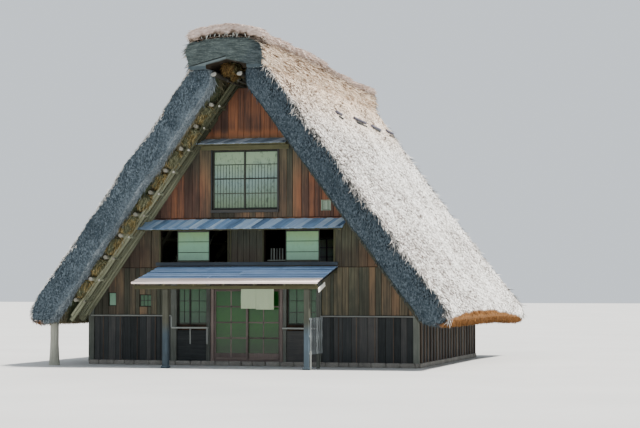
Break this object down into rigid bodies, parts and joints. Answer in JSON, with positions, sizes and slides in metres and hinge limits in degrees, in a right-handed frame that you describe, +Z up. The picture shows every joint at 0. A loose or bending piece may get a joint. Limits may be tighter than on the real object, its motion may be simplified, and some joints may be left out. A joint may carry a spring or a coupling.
{
  "type": "thatched minka farmhouse",
  "caption": "Thatched, steep-gabled minka farmhouse with board gable walls, lattice windows, board canopies and a front porch with sliding doors.",
  "frame": {"origin": "on the ground under the middle of the house", "axes": "+Z up, -Y towards the front gable, +X to the right seen from the front"},
  "size_m": [12.48, 12.6, 9.6],
  "materials": {
    "thatch": "weathered straw",
    "ridge_straw": "newer straw, cut ends",
    "weathered_timber": "bare and weathered",
    "gable_boards": "red-brown boards, weathered",
    "dark_boards": "stained near black",
    "pale_log": "peeled log",
    "roof_boards": "silver-blue weathered boards",
    "new_boards": "pale new boards",
    "joinery": "dark red stain",
    "pane": "clear window glass",
    "curtain_cloth": "plain woven hemp",
    "straw_rope": "twisted straw rope",
    "stone": "rough stone"
  },
  "bodies": {
    "house": {"foundation_floor": "stone", "second_floor": "weathered_timber", "third_floor": "weathered_timber", "front_wall_left": "gable_boards", "front_wall_right": "gable_boards", "front_wall_over_door": "gable_boards", "front_wall_second": "gable_boards", "front_wall_upper": "gable_boards", "front_wall_upper_right": "gable_boards", "back_wall_ground": "gable_boards", "back_wall_second": "gable_boards", "back_wall_upper": "gable_boards", "side_wall_left": "gable_boards", "side_wall_right": "gable_boards", "roof_frame_left": "weathered_timber", "roof_frame_right": "weathered_timber", "thatch_left": "thatch", "thatch_right": "thatch", "ridge_logs": "pale_log", "ridge_cap": "ridge_straw", "ridge_bundle_1": "ridge_straw", "ridge_bundle_2": "ridge_straw", "ridge_bundle_3": "ridge_straw", "ridge_bundle_4": "ridge_straw", "ridge_bundle_5": "ridge_straw", "ridge_bundle_6": "ridge_straw", "ridge_bundle_7": "ridge_straw", "upper_canopy_front": "roof_boards", "middle_canopy_front": "roof_boards", "upper_canopy_back": "roof_boards", "middle_canopy_back": "roof_boards", "porch_roof": "roof_boards", "porch_post_left": "weathered_timber", "porch_post_right": "weathered_timber", "porch_beam": "weathered_timber", "porch_screen": "weathered_timber", "porch_screen_post": "weathered_timber", "door_frame": "joinery", "front_window_left": "joinery", "front_window_right": "joinery", "second_sash_left": "joinery", "second_sash_right": "joinery", "side_light_outer": "joinery", "side_light_inner": "joinery", "third_window_front": "joinery", "ground_window_back": "joinery", "second_window_back": "joinery", "third_window_back": "joinery", "curtain_rod": "weathered_timber", "door_curtain": "curtain_cloth", "eave_post_left": "pale_log"},
    "door_left": {"entrance_door_left": "joinery"},
    "door_right": {"entrance_door_right": "joinery"}
  },
  "joints": [
    {"name": "door_left_slide", "type": "slide", "parent": "house", "child": "door_left", "axis": [1, 0, 0], "range_m": [0, 0.96]},
    {"name": "door_right_slide", "type": "slide", "parent": "house", "child": "door_right", "axis": [-1, 0, 0], "range_m": [0, 0.96]}
  ]
}
